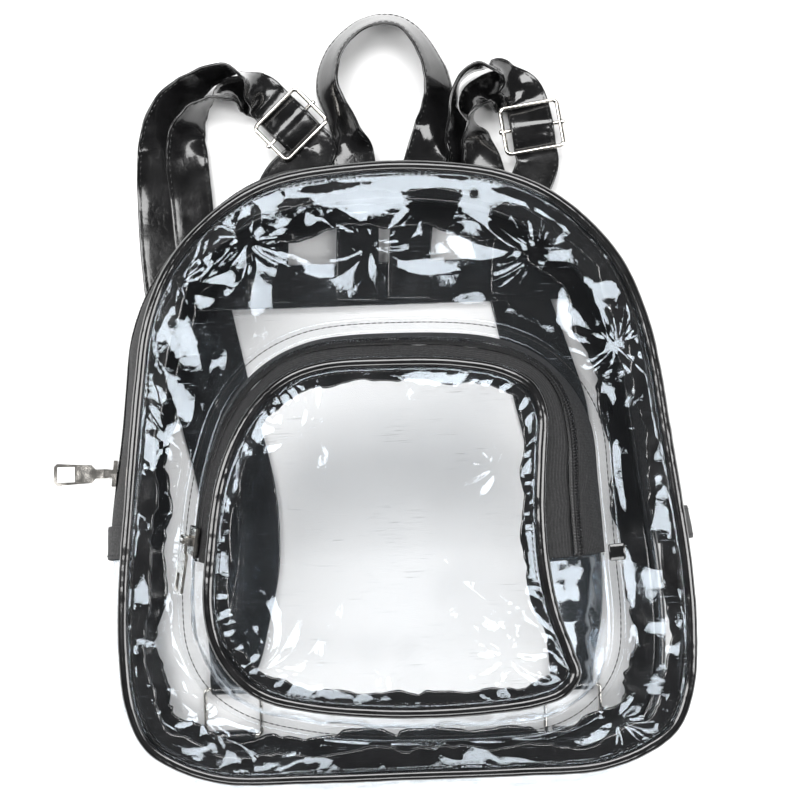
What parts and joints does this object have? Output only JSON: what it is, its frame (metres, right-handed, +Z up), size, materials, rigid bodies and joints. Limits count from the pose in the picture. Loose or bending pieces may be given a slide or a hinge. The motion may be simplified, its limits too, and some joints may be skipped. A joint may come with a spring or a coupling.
{
  "type": "clear stadium backpack",
  "caption": "Small clear sheet backpack lying on its back, with black piping, a zipped D-shaped front pocket, shoulder straps, slider buckles and a carrying loop",
  "frame": {"origin": "bottom centre of the whole bag's box, on the floor it lies on", "axes": "+Z up out of the front panel, +Y from the bottom seam towards the carrying loop, +X to the picture's right"},
  "size_m": [0.3148, 0.3944, 0.102],
  "materials": {
    "clear_sheet": "clear flexible sheet, glossy, with soft creases and fine scuffs",
    "black_patent": "glossy black coated cloth with edge stitching",
    "zip_tape": "matt black woven tape",
    "zip_coil": "black moulded coil teeth",
    "nickel": "bright nickel plate, slightly warm, lightly brushed"
  },
  "bodies": {
    "bag": {"front_panel": "clear_sheet", "back_panel": "clear_sheet", "lower_gusset": "clear_sheet", "zip_tape_front": "zip_tape", "zip_tape_back": "zip_tape", "main_zip_coil": "zip_coil", "front_piping": "black_patent", "back_piping": "black_patent", "zip_end_tab_left": "black_patent", "zip_end_tab_right": "black_patent", "pocket_panel": "clear_sheet", "pocket_piping": "black_patent", "pocket_gusset": "clear_sheet", "pocket_tape_outer": "zip_tape", "pocket_tape_inner": "zip_tape", "pocket_zip_coil": "zip_coil", "pocket_flange": "clear_sheet", "pocket_zip_tail": "black_patent", "back_band": "black_patent", "handle": "black_patent", "strap_left": "black_patent", "buckle_left": "nickel", "ring_left": "nickel", "ring_tab_left": "black_patent", "strap_right": "black_patent", "buckle_right": "nickel", "ring_right": "nickel", "ring_tab_right": "black_patent", "main_slider": "nickel", "pocket_slider": "nickel"},
    "main_pull": {"main_pull": "nickel"},
    "pocket_pull": {"pocket_pull": "nickel"}
  },
  "joints": [
    {"name": "main_pull_hinge", "type": "hinge", "parent": "bag", "child": "main_pull", "pos_m": [-0.1315, -0.0358, 0.04188], "axis": [0.1099, 0.1282, 0.9856], "range_deg": [-80, 65]},
    {"name": "pocket_pull_hinge", "type": "hinge", "parent": "bag", "child": "pocket_pull", "pos_m": [-0.08783, -0.06664, 0.08812], "axis": [0.4241, -0.173, 0.8889], "range_deg": [-170, 0]}
  ]
}
